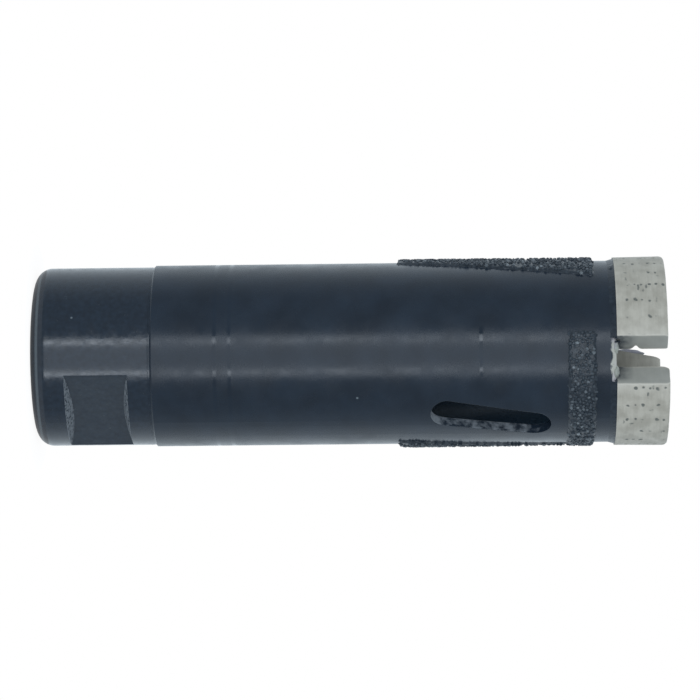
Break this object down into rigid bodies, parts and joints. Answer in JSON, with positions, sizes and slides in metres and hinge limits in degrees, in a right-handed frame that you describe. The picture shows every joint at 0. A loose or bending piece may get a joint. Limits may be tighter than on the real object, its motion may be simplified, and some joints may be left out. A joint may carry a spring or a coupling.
{
  "type": "diamond core bit",
  "caption": "Diamond core bit for an angle grinder: steel tube with slots, sintered segments, side grit guards and a threaded adapter with wrench flats.",
  "frame": {"origin": "centre of the adapter's rear face, on the bit's axis", "axes": "+Z along the bit's axis to the cutting end; +X out through one of the two slots"},
  "size_m": [0.035, 0.035, 0.1165],
  "materials": {
    "black_paint": "satin",
    "sintered_diamond": "matte",
    "brazed_grit": "rough",
    "painted_braze": "satin"
  },
  "bodies": {
    "root": {"adapter": "black_paint", "barrel": "black_paint", "segment_1": "sintered_diamond", "segment_2": "sintered_diamond", "braze_joint_1": "painted_braze", "braze_joint_2": "painted_braze", "side_guard_1": "brazed_grit", "side_guard_2": "brazed_grit"}
  },
  "joints": []
}
